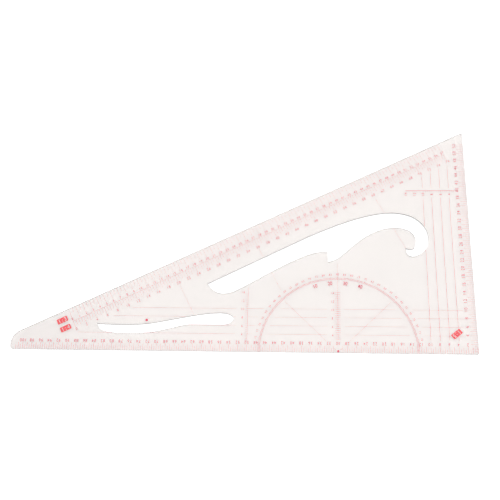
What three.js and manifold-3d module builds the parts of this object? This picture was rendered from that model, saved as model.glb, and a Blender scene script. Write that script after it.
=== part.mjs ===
// A clear plastic scale triangle for drafting patterns: one flat sheet with two curve openings,
// and the red print on its upper face. Each printed island is a film of ink of its own.
// Units are millimetres and +Z is up. Places are measured from the right-angled corner, with the
// base edge along -X and the upright edge along +Y, and the finished group is centred at the end.
import * as THREE from "three";
import { mergeVertices } from "three/addons/utils/BufferGeometryUtils.js";
import Module from "manifold-3d";

const wasm = await Module();
wasm.setup();

// The sheet
const sheetLength = 206; // along the base edge
const uprightReach = 111.73; // height at which the sloping edge's line meets the upright edge
const bluntEndHeight = 6.7; // height of the cut-off left end, before its corner is rounded
const sheetThickness = 1.2;
const bluntEndRadius = 6;
const heelRadius = 1.2; // lower corner of the blunt end
const cornerRadius = 0.6; // right-angled corner and top corner

// The large curve opening: its straight side runs parallel to the sloping edge
const largeOpening = {
  pastGuide: 1.317, // how far its round end reaches past the last upright guide line
  lengthShare: 0.4398, // of the sloping edge
  border: 16.25, // from the sloping edge to the straight side
  depthShare: 0.2766, // of the upright reach
};
// The small curve opening lies level between the sloping scales and the short upright scale. It
// starts just below the first level guide line, and the second one runs along its flat side.
const smallOpening = {
  clearLeft: 8.4,
  clearRight: 1.1,
  belowGuide: 0.2,
  heightShare: 2.525, // of the pitch of the level guide lines
};

// Print: film, line widths and clearances
const inkThickness = 0.05;
const lineWidth = 0.07; // of every line but the upright guides, which are heavier
const tickWidth = 0.085;
const edgeMargin = 0.25; // bare sheet kept between a line and an opening's edge
const blockMargin = 0.1; // bare sheet kept between a line and a solid block
const shortestRun = 1; // a shorter stretch of line isn't printed

// Guide lines
const levelGuide = { first: 8, pitch: 4, count: 4 };
const rowPastOpening = 1; // this left guide line is printed only to the right of the small opening
const uprightGuide = { first: 8.2, pitch: 4.04, count: 4, width: 0.11 };
const guideFoot = 5.8; // bare strip along the base and upright scales, which their numerals need
const slopeMargin = 12.3; // the same along the sloping scales

// Protractor
const innerArcRadius = 34.45;
const bandWidth = 0.7;
const longRung = { every: 5, beyond: 0.45 }; // these rungs reach out past the band
const numeralsInside = 1.95; // room kept for numerals inside the band, and outside it
const numeralsOutside = 3.15;
const protractorGap = 1.88; // from that outer room to the last upright guide line
const halfTurnDegrees = 180;
const diagonalDegrees = 45;
const diagonalStart = 7;
const diagonalGap = 1.15; // between its end and the band
const centreDotDiameter = 1;

// Scale lines with cross ticks
const scaleTickPitch = 1;
const axisScale = {
  foot: 5.5,
  pastBand: 6.85,
  ticksTo: 28,
  halfTick: 1.3,
  clearLeft: 4.5,
  clearRight: 2.8,
};
const shortUpright = { gap: 1.7, foot: 5, top: 30.3, ticksTo: 27, tick: 1.2, clearLeft: 5 };
const shortLevel = {
  below: 31.68,
  from: 4,
  to: 28.3,
  tick: 0.8,
  width: 0.11,
  clearBelow: 3.7,
  clearAbove: 1.4,
};

// The quarter scale along the sloping edge: a spine line with a tick at every half unit
const quarterScale = {
  fromBluntEnd: 27.1, // along the sloping edge to the zero
  fromTop: 14, // bare length left at the top corner
  inset: 6.5, // of the spine
  unit: 2.5,
  halfTick: 2.05,
  fullTick: 2.35,
  labelledTick: 2.85,
  zeroTick: 4.75, // outward, across the neighbouring scale
};

// Lines square to the sloping edge, at the whole unit of the quarter scale nearest to a share of
// the large opening's length. Each starts below the numerals and is printed as one or two runs.
const squareLines = [
  { name: "long", share: 0.13, clear: 1, runs: 2 },
  { name: "middle", share: 0.72, clear: 0, runs: 2 },
  { name: "end", share: 1.113, clear: 0, runs: 1 },
];
const numeralDepth = 11.8; // of the quarter scale's numerals, from the sloping edge

// Ratio blocks: solid tiles beside the zero of each scale
const blockLength = 4.9;
const blockWidth = 2.5;
const blockCorner = 0.3;
const blockGap = 1.85; // between a block and the zero of its scale
const thirdsBlock = { inward: 3.95 };
const quartersBlock = { inward: 8.15 };
const fifthsBlock = { left: 9, rise: 9, turnDegrees: 42 };
const pivotDot = { shares: [0.363, 0.619], diameter: 1.2 }; // along and up the small opening

// Facets
const splineSegments = 4; // per knot of an opening's curve
const roundSegments = 6; // per rounded corner
const dotSegments = 20;
const roomSegments = 120; // of the circle that keeps lines out of the protractor's numerals
const keyDecimals = 6; // corners closer than this are one corner

const degree = Math.PI / halfTurnDegrees;
const slopeAngle = Math.atan2(uprightReach - bluntEndHeight, sheetLength);
const slopeLength = Math.hypot(uprightReach - bluntEndHeight, sheetLength);
const quarterZero = slopeLength - quarterScale.fromBluntEnd;
const lastUprightGuide = uprightGuide.first + (uprightGuide.count - 1) * uprightGuide.pitch;
const outerArcRadius = innerArcRadius + bandWidth;
const innerClearRadius = innerArcRadius - numeralsInside; // guide lines stop here
const outerClearRadius = outerArcRadius + numeralsOutside; // and start again here
// Places along the base edge and up the upright edge
const protractorCentre = lastUprightGuide + protractorGap + outerClearRadius;
const shortUprightPlace = protractorCentre + outerClearRadius + shortUpright.gap;
const shortLevelRise = uprightReach - shortLevel.below;
const fullTurn = 2 * Math.PI;

// A place given by its distance along the sloping edge from the top corner, and inward from it.
function onSlope(along, inward) {
  return new THREE.Vector2(
    -along * Math.cos(slopeAngle) + inward * Math.sin(slopeAngle),
    uprightReach - along * Math.sin(slopeAngle) - inward * Math.cos(slopeAngle),
  );
}

// Where a level line at a height meets the line that runs inward of the sloping edge.
function slopeX(height, inward) {
  return (height - uprightReach + inward / Math.cos(slopeAngle)) / Math.tan(slopeAngle);
}

function slopeY(x, inward) {
  return uprightReach + x * Math.tan(slopeAngle) - inward / Math.cos(slopeAngle);
}

// Half the width of a circle about the protractor's centre, at a height.
function halfChord(radius, height) {
  return Math.sqrt(Math.max(radius ** 2 - height ** 2, 0));
}

// A closed outline with each corner rounded to its own radius.
function roundedOutline(corners) {
  const shape = new THREE.Shape();
  corners.forEach(({ at, radius }, i) => {
    const before = corners.at(i - 1).at;
    const after = corners[(i + 1) % corners.length].at;
    const toBefore = before.clone().sub(at).normalize();
    const toAfter = after.clone().sub(at).normalize();
    const halfAngle = Math.acos(toBefore.dot(toAfter)) / 2;
    const tangent = radius / Math.tan(halfAngle);
    const bisector = toBefore.clone().add(toAfter).normalize();
    const centre = at.clone().addScaledVector(bisector, radius / Math.sin(halfAngle));
    const start = at.clone().addScaledVector(toBefore, tangent).sub(centre).angle();
    const end = at.clone().addScaledVector(toAfter, tangent).sub(centre).angle();
    shape.absarc(centre.x, centre.y, radius, start, end, false);
  });
  shape.closePath();
  return shape;
}

// The large opening, clockwise from its sharp left tip. Shares run along the opening from its
// near end, and across it from its straight side.
const largeTipShare = [1, 0.02];
const largeRoofShares = [
  [0.491, 0],
  [0.412, 0.009],
  [0.329, 0.028],
  [0.249, 0.062],
  [0.175, 0.114],
  [0.119, 0.178],
  [0.069, 0.269],
  [0.026, 0.408],
  [0.004, 0.58],
  [0.006, 0.755],
  [0.029, 0.9],
  [0.062, 0.981],
  [0.096, 1],
  [0.122, 0.984],
  [0.138, 0.918],
  [0.131, 0.816],
];
const hookShares = [
  [0.115, 0.858],
  [0.098, 0.87],
  [0.081, 0.82],
  [0.069, 0.751],
  [0.067, 0.664],
  [0.079, 0.571],
  [0.108, 0.484],
  [0.154, 0.413],
  [0.214, 0.385],
  [0.276, 0.398],
  [0.335, 0.442],
  [0.387, 0.493],
  [0.431, 0.522],
  [0.472, 0.509],
];
const stepShare = [0.451, 0.359];
const largeFloorShares = [
  [0.487, 0.303],
  [0.538, 0.27],
  [0.632, 0.262],
  [0.721, 0.275],
  [0.809, 0.295],
  [0.877, 0.31],
  [0.926, 0.302],
  [0.963, 0.257],
  [0.989, 0.16],
];

const largeLength = largeOpening.lengthShare * slopeLength;
const largeDepth = largeOpening.depthShare * uprightReach;

// The opening is slid along the slope until its round end reaches just past the last guide line.
function largeOpeningStart() {
  const rightmost = largeRoofShares.map(([along, across]) => {
    const inward = largeOpening.border + across * largeDepth;
    return inward * Math.sin(slopeAngle) - along * largeLength * Math.cos(slopeAngle);
  });
  const clearance = lastUprightGuide - largeOpening.pastGuide;
  return (Math.max(...rightmost) + clearance) / Math.cos(slopeAngle);
}

const largeStart = largeOpeningStart();

function largeOpeningPath() {
  const at = ([along, across]) =>
    onSlope(largeStart + along * largeLength, largeOpening.border + across * largeDepth);
  const path = new THREE.Path();
  const tip = at(largeTipShare);
  const [roofStart, ...roof] = largeRoofShares.map(at);
  const step = at(stepShare);
  path.moveTo(tip.x, tip.y);
  path.lineTo(roofStart.x, roofStart.y);
  path.splineThru(roof);
  path.splineThru(hookShares.map(at));
  path.lineTo(step.x, step.y);
  path.splineThru([...largeFloorShares.map(at), tip]);
  return path;
}

// The small opening, clockwise from its sharp upper left corner. Shares run from its left end
// and up from its lowest point.
const smallStartShare = [0, 0.45];
const smallRoofShares = [
  [0.106, 0.416],
  [0.207, 0.411],
  [0.309, 0.436],
  [0.401, 0.5],
  [0.555, 0.688],
  [0.71, 0.876],
  [0.827, 0.98],
  [0.92, 1],
  [0.977, 0.9],
  [1, 0.713],
  [0.979, 0.53],
  [0.94, 0.442],
  [0.888, 0.431],
];
const smallFlatShare = [0.679, 0.431];
const smallFloorShares = [
  [0.611, 0.36],
  [0.513, 0.198],
  [0.401, 0.056],
  [0.283, 0],
  [0.168, 0],
  [0.081, 0.054],
  [0.026, 0.178],
];

const smallLeft = slopeX(levelGuide.first, slopeMargin) + smallOpening.clearLeft;
const smallRight = -shortUprightPlace - shortUpright.clearLeft - smallOpening.clearRight;

function inSmallOpening([along, up]) {
  const height = smallOpening.heightShare * levelGuide.pitch;
  return new THREE.Vector2(
    smallLeft + along * (smallRight - smallLeft),
    levelGuide.first - smallOpening.belowGuide + up * height,
  );
}

function smallOpeningPath() {
  const path = new THREE.Path();
  const start = inSmallOpening(smallStartShare);
  const flat = inSmallOpening(smallFlatShare);
  path.moveTo(start.x, start.y);
  path.splineThru(smallRoofShares.map(inSmallOpening));
  path.lineTo(flat.x, flat.y);
  path.splineThru([...smallFloorShares.map(inSmallOpening), start]);
  return path;
}

const openings = [largeOpeningPath(), smallOpeningPath()];

function sheetShape() {
  const shape = roundedOutline([
    { at: new THREE.Vector2(0, 0), radius: cornerRadius },
    { at: new THREE.Vector2(0, uprightReach), radius: cornerRadius },
    { at: new THREE.Vector2(-sheetLength, bluntEndHeight), radius: bluntEndRadius },
    { at: new THREE.Vector2(-sheetLength, 0), radius: heelRadius },
  ]);
  shape.holes.push(...openings);
  return shape;
}

function extruded(shape, depth, curveSegments) {
  const geometry = new THREE.ExtrudeGeometry(shape, { depth, bevelEnabled: false, curveSegments });
  geometry.deleteAttribute("normal");
  geometry.deleteAttribute("uv");
  return mergeVertices(geometry);
}

// Several overlapping films of ink as one film.
function joined(films) {
  const solids = films.map((geometry) => {
    return new wasm.Manifold(
      new wasm.Mesh({
        numProp: 3,
        vertProperties: new Float32Array(geometry.attributes.position.array),
        triVerts: new Uint32Array(geometry.index.array),
      }),
    );
  });
  // Simplifying clears the needless points that crossing lines leave on each other's edges.
  const film = solids.reduce((sum, solid) => sum.add(solid)).asOriginal().simplify();
  const mesh = film.getMesh();
  const geometry = new THREE.BufferGeometry();
  geometry.setAttribute("position", new THREE.BufferAttribute(mesh.vertProperties, 3));
  geometry.setIndex(new THREE.BufferAttribute(mesh.triVerts, 1));
  return geometry;
}

// A straight printed line of some width, square at both ends.
function strip(from, to, width) {
  const along = to.clone().sub(from).normalize();
  const aside = new THREE.Vector2(-along.y, along.x).multiplyScalar(width / 2);
  return new THREE.Shape([
    from.clone().sub(aside),
    to.clone().sub(aside),
    to.clone().add(aside),
    from.clone().add(aside),
  ]);
}

// A film made of four-cornered cells, each with its corners listed turning left. Cells that meet
// share two corners, and a wall stands on every side that only one cell has.
function cellFilm(cells) {
  const places = [];
  const numbers = new Map();
  const numberOf = (place) => {
    const key = place.toArray().map((value) => value.toFixed(keyDecimals)).join();
    if (!numbers.has(key)) numbers.set(key, places.push(place) - 1);
    return numbers.get(key);
  };
  const numbered = cells.map((cell) => cell.map(numberOf));
  const sidesOf = (cell) => cell.map((from, i) => [from, cell[(i + 1) % cell.length]]);
  const sides = new Set(numbered.flatMap(sidesOf).map((side) => side.join()));
  const upper = places.length;
  const faces = [];
  for (const cell of numbered) {
    const [a, b, c, d] = cell;
    faces.push(a + upper, b + upper, c + upper, a + upper, c + upper, d + upper);
    faces.push(a, c, b, a, d, c);
    for (const [from, to] of sidesOf(cell)) {
      if (sides.has([to, from].join())) continue;
      faces.push(from, to, to + upper, from, to + upper, from + upper);
    }
  }
  const lowerFace = places.flatMap(({ x, y }) => [x, y, 0]);
  const upperFace = places.flatMap(({ x, y }) => [x, y, inkThickness]);
  const geometry = new THREE.BufferGeometry();
  const positions = new THREE.Float32BufferAttribute([...lowerFace, ...upperFace], 3);
  geometry.setAttribute("position", positions);
  geometry.setIndex(faces);
  return geometry;
}

// A scale line with ticks across it, as one film. The line starts at a place and runs in a
// direction; each tick says where it stands along it and how far it reaches to each side.
function tickedLine({ start, direction, length, ticks, width: wide = lineWidth }) {
  const along = direction.clone().normalize();
  const left = new THREE.Vector2(-along.y, along.x);
  const at = (run, aside) => start.clone().addScaledVector(along, run).addScaledVector(left, aside);
  const cell = (from, to, low, high) => [at(from, low), at(to, low), at(to, high), at(from, high)];
  const half = wide / 2;
  const cells = [];
  let reached = 0;
  for (const { run, toLeft = 0, toRight = 0, width = tickWidth } of ticks) {
    const near = run - width / 2;
    const far = run + width / 2;
    if (near > reached) cells.push(cell(reached, near, -half, half));
    cells.push(cell(near, far, -half, half));
    if (toLeft > half) cells.push(cell(near, far, half, toLeft));
    if (toRight > half) cells.push(cell(near, far, -toRight, -half));
    reached = far;
  }
  if (length > reached) cells.push(cell(reached, length, -half, half));
  return cellFilm(cells);
}

// The outlines that a printed line stops short of, each with the bare margin it needs.
const obstacles = openings.map((path) => ({
  outline: path.getPoints(splineSegments),
  margin: edgeMargin,
}));

function blockShape(centre, angle) {
  const along = new THREE.Vector2(Math.cos(angle), Math.sin(angle));
  const up = new THREE.Vector2(-along.y, along.x);
  const corner = (alongSign, upSign) => ({
    at: centre
      .clone()
      .addScaledVector(along, (alongSign * blockLength) / 2)
      .addScaledVector(up, (upSign * blockWidth) / 2),
    radius: blockCorner,
  });
  return roundedOutline([corner(1, -1), corner(1, 1), corner(-1, 1), corner(-1, -1)]);
}

const blockAlong = quarterZero + blockGap + blockLength / 2;
const blocks = {
  ratio_block_thirds: blockShape(onSlope(blockAlong, thirdsBlock.inward), slopeAngle),
  ratio_block_quarters: blockShape(onSlope(blockAlong, quartersBlock.inward), slopeAngle),
  ratio_block_fifths: blockShape(
    new THREE.Vector2(-fifthsBlock.left, fifthsBlock.rise),
    fifthsBlock.turnDegrees * degree,
  ),
};
for (const block of Object.values(blocks))
  obstacles.push({ outline: block.getPoints(roundSegments), margin: blockMargin });

// How far along the line from one place to another it crosses an outline.
function crossings(from, to, outline) {
  const line = to.clone().sub(from);
  const length = line.length();
  const found = [];
  outline.forEach((p, i) => {
    const q = outline[(i + 1) % outline.length];
    const edge = q.clone().sub(p);
    const span = line.cross(edge);
    const toStart = p.clone().sub(from);
    const alongLine = toStart.cross(edge) / span;
    const alongEdge = toStart.cross(line) / span;
    if (alongEdge >= 0 && alongEdge < 1 && alongLine > 0 && alongLine < 1)
      found.push(alongLine * length);
  });
  return found.sort((a, b) => a - b);
}

function isInside(point, outline) {
  let inside = false;
  outline.forEach((p, i) => {
    const q = outline[(i + 1) % outline.length];
    if (p.y > point.y !== q.y > point.y) {
      const x = p.x + ((point.y - p.y) * (q.x - p.x)) / (q.y - p.y);
      if (x > point.x) inside = !inside;
    }
  });
  return inside;
}

// The stretches of a straight line that lie on bare sheet, as strips.
function printedRuns(from, to, avoided = obstacles, width = lineWidth) {
  const along = to.clone().sub(from).normalize();
  const length = from.distanceTo(to);
  let stops = [0, length];
  for (const { outline, margin } of avoided) {
    const met = crossings(from, to, outline);
    const bounds = [0, ...met, length];
    const covered = [];
    bounds.slice(1).forEach((end, i) => {
      const middle = from.clone().addScaledVector(along, (bounds[i] + end) / 2);
      if (isInside(middle, outline)) covered.push([bounds[i] - margin, end + margin]);
    });
    for (const [low, high] of covered) {
      const left = [];
      for (let i = 0; i < stops.length; i += 2) {
        left.push([stops[i], Math.min(stops[i + 1], low)], [Math.max(stops[i], high), stops[i + 1]]);
      }
      stops = left.filter(([start, end]) => end - start >= shortestRun).flat();
    }
  }
  const runs = [];
  for (let i = 0; i < stops.length; i += 2) {
    const start = from.clone().addScaledVector(along, stops[i]);
    const end = from.clone().addScaledVector(along, stops[i + 1]);
    runs.push(strip(start, end, width));
  }
  return runs;
}

const triangle = new THREE.Group();

// Put a film of ink on the sheet under its own name.
function print(name, geometry) {
  const red = new THREE.MeshStandardMaterial({ color: 0xf0646e, roughness: 0.55, metalness: 0 });
  const mesh = new THREE.Mesh(geometry, red);
  mesh.name = name;
  mesh.position.z = sheetThickness;
  triangle.add(mesh);
}

function film(shape) {
  return extruded(shape, inkThickness, roundSegments);
}

function printShape(name, shape) {
  print(name, film(shape));
}

function addSheet() {
  const clear = new THREE.MeshStandardMaterial({
    color: 0xf8f1ee,
    roughness: 0.12,
    metalness: 0,
    transparent: true,
    opacity: 0.4,
  });
  const sheet = new THREE.Mesh(extruded(sheetShape(), sheetThickness, splineSegments), clear);
  sheet.name = "ruler_sheet";
  triangle.add(sheet);
}

const levelHeights = Array.from(
  { length: levelGuide.count },
  (_, i) => levelGuide.first + i * levelGuide.pitch,
);
const uprightPlaces = Array.from(
  { length: uprightGuide.count },
  (_, i) => -uprightGuide.first - i * uprightGuide.pitch,
);

function levelRuns(height, left, right) {
  return printedRuns(new THREE.Vector2(left, height), new THREE.Vector2(right, height));
}

function uprightRuns(x, low, high) {
  const from = new THREE.Vector2(x, low);
  return printedRuns(from, new THREE.Vector2(x, high), obstacles, uprightGuide.width);
}

// The protractor band: two arcs joined by a rung at every degree, cut as windows between them. The
// rungs that carry numerals go on past the outer arc.
function protractorBand() {
  const centre = new THREE.Vector2(-protractorCentre, 0);
  const at = (radius, angle) =>
    new THREE.Vector2(radius * Math.cos(angle), radius * Math.sin(angle)).add(centre);
  const outer = outerArcRadius + lineWidth / 2;
  const inner = innerArcRadius - lineWidth / 2;
  const outline = [];
  for (let i = 0; i <= halfTurnDegrees; i += 1) outline.push(at(outer, i * degree));
  for (let i = halfTurnDegrees; i >= 0; i -= 1) outline.push(at(inner, i * degree));
  const band = new THREE.Shape(outline);
  for (let i = 0; i < halfTurnDegrees; i += 1) {
    const window = (radius) => {
      const halfRung = tickWidth / 2 / radius;
      return [at(radius, i * degree + halfRung), at(radius, (i + 1) * degree - halfRung)];
    };
    const far = window(outerArcRadius - lineWidth / 2);
    const near = window(innerArcRadius + lineWidth / 2);
    band.holes.push(new THREE.Path([far[0], far[1], near[1], near[0]]));
  }
  const pieces = [band];
  for (let i = longRung.every; i < halfTurnDegrees; i += longRung.every) {
    const end = at(outerArcRadius + longRung.beyond, i * degree);
    pieces.push(strip(at(outerArcRadius, i * degree), end, tickWidth));
  }
  return joined(pieces.map(film));
}

function dotShape(centre, diameter, segments = dotSegments) {
  const points = Array.from({ length: segments }, (_, i) => {
    const angle = (i * fullTurn) / segments;
    return new THREE.Vector2(Math.cos(angle), Math.sin(angle))
      .multiplyScalar(diameter / 2)
      .add(centre);
  });
  return new THREE.Shape(points);
}

// The upright axis of the protractor, with ticks across it over its lower part. It runs through
// the band, so the two are one film.
function addProtractor() {
  const { halfTick } = axisScale;
  const ticks = [];
  for (let height = Math.ceil(axisScale.foot); height <= axisScale.ticksTo; height += scaleTickPitch)
    ticks.push({ run: height - axisScale.foot, toLeft: halfTick, toRight: halfTick });
  const line = tickedLine({
    start: new THREE.Vector2(-protractorCentre, axisScale.foot),
    direction: new THREE.Vector2(0, 1),
    length: outerArcRadius + axisScale.pastBand - axisScale.foot,
    ticks,
  });
  print("protractor_band_and_axis", joined([protractorBand(), line]));
}

// Guide lines inside the protractor: a fan of level lines tied by a line at 45 degrees.
function addProtractorGuides() {
  const sides = [
    { name: "left", sign: -1, clear: axisScale.clearLeft },
    { name: "right", sign: 1, clear: axisScale.clearRight },
  ];
  for (const { name, sign, clear } of sides) {
    const diagonal = new THREE.Vector2(
      sign * Math.cos(diagonalDegrees * degree),
      Math.sin(diagonalDegrees * degree),
    );
    const centre = new THREE.Vector2(-protractorCentre, 0);
    const lines = [
      strip(
        centre.clone().addScaledVector(diagonal, diagonalStart),
        centre.clone().addScaledVector(diagonal, innerArcRadius - diagonalGap),
        lineWidth,
      ),
    ];
    for (const height of levelHeights) {
      const near = new THREE.Vector2(-protractorCentre + sign * clear, height);
      const far = new THREE.Vector2(
        -protractorCentre + sign * halfChord(innerClearRadius, height),
        height,
      );
      lines.push(strip(near, far, lineWidth));
    }
    print("protractor_guides_" + name, joined(lines.map(film)));
  }
}

// The short upright scale, with the ends of the level guide lines that reach it from the right.
function addShortUprightScale() {
  const ticks = [];
  for (let height = shortUpright.foot; height <= shortUpright.ticksTo; height += scaleTickPitch) {
    const tick = { run: height - shortUpright.foot, toLeft: shortUpright.tick };
    if (levelHeights.includes(height)) {
      tick.toRight = shortUprightPlace - protractorCentre - halfChord(outerClearRadius, height);
      tick.width = lineWidth;
    }
    ticks.push(tick);
  }
  const line = tickedLine({
    start: new THREE.Vector2(-shortUprightPlace, shortUpright.foot),
    direction: new THREE.Vector2(0, 1),
    length: shortUpright.top - shortUpright.foot,
    ticks,
  });
  print("short_upright_scale", line);
}

function addShortLevelScale() {
  const ticks = [];
  for (let run = 0; run < shortLevel.to - shortLevel.from; run += scaleTickPitch)
    ticks.push({ run, toLeft: shortLevel.tick, width: shortLevel.width });
  const line = tickedLine({
    start: new THREE.Vector2(-shortLevel.from, shortLevelRise),
    direction: new THREE.Vector2(-1, 0),
    length: shortLevel.to - shortLevel.from,
    ticks,
    width: shortLevel.width,
  });
  print("short_level_scale", line);
}

// The quarter scale: its spine runs down the slope, and its ticks point inward from it.
function addQuarterScale() {
  const { inset, unit, halfTick, fullTick, labelledTick, zeroTick } = quarterScale;
  const down = new THREE.Vector2(-Math.cos(slopeAngle), -Math.sin(slopeAngle));
  const units = Math.floor((quarterZero - quarterScale.fromTop) / unit);
  const length = units * unit;
  const kinds = [labelledTick, halfTick, fullTick, halfTick];
  const ticks = [];
  for (let half = 0; half <= 2 * units; half += 1)
    ticks.push({ run: (half * unit) / 2, toLeft: kinds[half % kinds.length] });
  ticks.at(-1).toRight = zeroTick;
  const start = onSlope(quarterZero - length, inset);
  const line = tickedLine({ start, direction: down, length, ticks });
  print("sloping_quarter_scale", line);
}

// The grid near the right-angled corner. The first run of each line crosses the others and is
// part of one film; what lies beyond an opening or a block is a film by itself.
function addCornerGrid() {
  const grid = [];
  const level = levelHeights.map((height) => {
    const left = -protractorCentre + halfChord(outerClearRadius, height);
    return levelRuns(height, left, -guideFoot);
  });
  const top = shortLevelRise - shortLevel.clearBelow;
  const upright = uprightPlaces.map((x) => uprightRuns(x, guideFoot, top));
  const crossing = (run, others) => others.some((other) => boxOf(other).intersectsBox(boxOf(run)));
  const allUpright = upright.flat();
  const allLevel = level.flat();
  level.forEach((runs, row) => {
    runs.forEach((run, i) => {
      if (crossing(run, allUpright)) grid.push(run);
      else printShape(`corner_level_guide_${row + 1}_part_${i + 1}`, run);
    });
  });
  upright.forEach((runs, column) => {
    runs.forEach((run, i) => {
      if (crossing(run, allLevel)) grid.push(run);
      else printShape(`corner_upright_guide_${column + 1}_part_${i + 1}`, run);
    });
  });
  print("corner_guide_grid", joined(grid.map(film)));
}

// Level guide lines left of the short upright scale, and upright ones above the short level scale.
// The square line beyond the large opening crosses the top left guide line, so these are one film.
function addOuterGuides() {
  const right = -shortUprightPlace - shortUpright.clearLeft;
  levelHeights.forEach((height, row) => {
    const runs = levelRuns(height, slopeX(height, slopeMargin), right);
    const shown = row === rowPastOpening ? runs.slice(-1) : runs;
    shown.forEach((run, i) => {
      const crossing = squareRuns("end").filter((line) => boxOf(line).intersectsBox(boxOf(run)));
      if (crossing.length) print("left_level_guide_and_square_line", joined([run, ...crossing].map(film)));
      else printShape(`left_level_guide_${row + 1}_part_${i + 1}`, run);
    });
  });
  uprightPlaces.forEach((x, column) => {
    const foot = shortLevelRise + shortLevel.clearAbove;
    uprightRuns(x, foot, slopeY(x, slopeMargin)).forEach((run) => {
      printShape(`top_upright_guide_${column + 1}`, run);
    });
  });
}

function boxOf(shape) {
  return new THREE.Box2().setFromPoints(shape.getPoints());
}

// A square line ends where it meets an opening or the room of the protractor's numerals.
function squareRuns(wanted) {
  const { share, clear, runs } = squareLines.find(({ name }) => name === wanted);
  const { unit } = quarterScale;
  const units = Math.round((quarterZero - largeStart - share * largeLength) / unit);
  const along = quarterZero - units * unit;
  const from = onSlope(along, numeralDepth + clear);
  const to = onSlope(along, largeOpening.border + largeDepth);
  const centre = new THREE.Vector2(-protractorCentre, 0);
  const room = { outline: dotShape(centre, 2 * outerClearRadius, roomSegments).getPoints(), margin: 0 };
  return printedRuns(from, to, [...obstacles, room]).slice(0, runs);
}

function addSquareLines() {
  for (const name of ["middle", "long"]) {
    squareRuns(name).forEach((run, i) => {
      printShape(`square_line_${name}_part_${i + 1}`, run);
    });
  }
}

function addDotsAndBlocks() {
  const centre = new THREE.Vector2(-protractorCentre, centreDotDiameter / 2);
  printShape("protractor_centre_dot", dotShape(centre, centreDotDiameter));
  const pivot = inSmallOpening(pivotDot.shares);
  printShape("pivot_dot", dotShape(pivot, pivotDot.diameter));
  for (const [name, block] of Object.entries(blocks)) printShape(name, block);
}

addSheet();
addProtractor();
addProtractorGuides();
addShortUprightScale();
addShortLevelScale();
addQuarterScale();
addCornerGrid();
addOuterGuides();
addSquareLines();
addDotsAndBlocks();

// The group's own frame has its origin under the middle of the sheet.
const size = new THREE.Box3().setFromObject(triangle);
const middle = size.getCenter(new THREE.Vector3());
triangle.position.set(-middle.x, -middle.y, 0);

export default triangle;
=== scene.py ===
# %% [markdown]
# # A clear drafting triangle with red print
# The real object is one thin, flexible sheet of clear plastic, cut to a long right triangle. It has
# two curve openings to draw round, and scales, guide lines and a protractor are screen printed on
# it in red. This lesson dresses the measured CAD model of it for a photograph. The CAD parts stay
# where they are. What is too small for them is made here: the edge ticks and the numerals.

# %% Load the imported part
import math

import bpy
from mathutils import Matrix, Vector
from mathutils.geometry import interpolate_bezier, tessellate_polygon


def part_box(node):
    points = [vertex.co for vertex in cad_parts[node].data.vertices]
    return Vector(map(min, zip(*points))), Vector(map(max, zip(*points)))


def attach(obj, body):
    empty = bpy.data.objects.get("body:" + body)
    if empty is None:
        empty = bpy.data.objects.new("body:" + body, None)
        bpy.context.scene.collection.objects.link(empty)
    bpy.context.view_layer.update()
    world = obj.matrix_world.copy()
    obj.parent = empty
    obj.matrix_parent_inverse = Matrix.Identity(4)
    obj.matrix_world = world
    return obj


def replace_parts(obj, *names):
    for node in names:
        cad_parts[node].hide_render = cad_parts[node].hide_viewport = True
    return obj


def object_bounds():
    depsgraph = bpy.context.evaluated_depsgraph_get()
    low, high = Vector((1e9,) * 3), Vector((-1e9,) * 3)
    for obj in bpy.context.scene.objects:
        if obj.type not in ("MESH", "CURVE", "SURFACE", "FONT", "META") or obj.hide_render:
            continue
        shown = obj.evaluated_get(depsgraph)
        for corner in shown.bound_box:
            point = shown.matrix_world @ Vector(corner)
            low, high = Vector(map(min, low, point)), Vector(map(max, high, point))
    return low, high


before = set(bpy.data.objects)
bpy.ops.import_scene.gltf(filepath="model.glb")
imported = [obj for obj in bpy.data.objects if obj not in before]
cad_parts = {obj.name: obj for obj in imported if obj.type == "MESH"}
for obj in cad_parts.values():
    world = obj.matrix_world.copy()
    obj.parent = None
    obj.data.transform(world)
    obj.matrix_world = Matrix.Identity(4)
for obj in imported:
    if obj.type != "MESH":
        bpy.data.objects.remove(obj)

cad_box = [list(corner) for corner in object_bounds()]
print("CAD nodes:", len(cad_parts))
print("CAD box in mm:", [[round(v * 1000, 2) for v in corner] for corner in cad_box])

# %% [markdown]
# ## One way to say where things are
# On the real sheet every scale starts at an edge, so places are easiest to give in millimetres from
# the right-angled corner: x is zero there and falls to -206 at the blunt end, and y runs up the
# upright edge. A small helper turns such a place into Blender's metres. A second one does the same
# for places that are measured along the sloping edge, from its top, and inward from it.

# %% Places on the sheet
MM = 0.001
SHEET_LENGTH = 206.0
UPRIGHT_REACH = 111.73  # height at which the sloping edge's line meets the upright edge
BLUNT_END = 6.7  # height of the blunt end, before its upper corner is rounded

sheet_low, sheet_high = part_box("ruler_sheet")
corner_x, corner_y = sheet_high.x, sheet_low.y
slope = math.atan2(UPRIGHT_REACH - BLUNT_END, SHEET_LENGTH)
slope_degrees = math.degrees(slope)
slope_length = math.hypot(UPRIGHT_REACH - BLUNT_END, SHEET_LENGTH)


def to_metres(point):
    return Vector((corner_x + point[0] * MM, corner_y + point[1] * MM))


def on_slope(along, inward):
    x = -along * math.cos(slope) + inward * math.sin(slope)
    y = UPRIGHT_REACH - along * math.sin(slope) - inward * math.cos(slope)
    return Vector((x, y))


print("slope in degrees:", round(slope_degrees, 2), "slope length:", round(slope_length, 2))

# %% [markdown]
# ## The camera
# The photograph looks down steeply on the sheet from the front. The camera's place and direction
# were found from the sheet's own outline and numerals, so they are given as a point, a viewing
# direction and an up direction. A camera looks along its own -Z, so its matrix is made of the right
# direction, the up direction and the reversed viewing direction.

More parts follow.
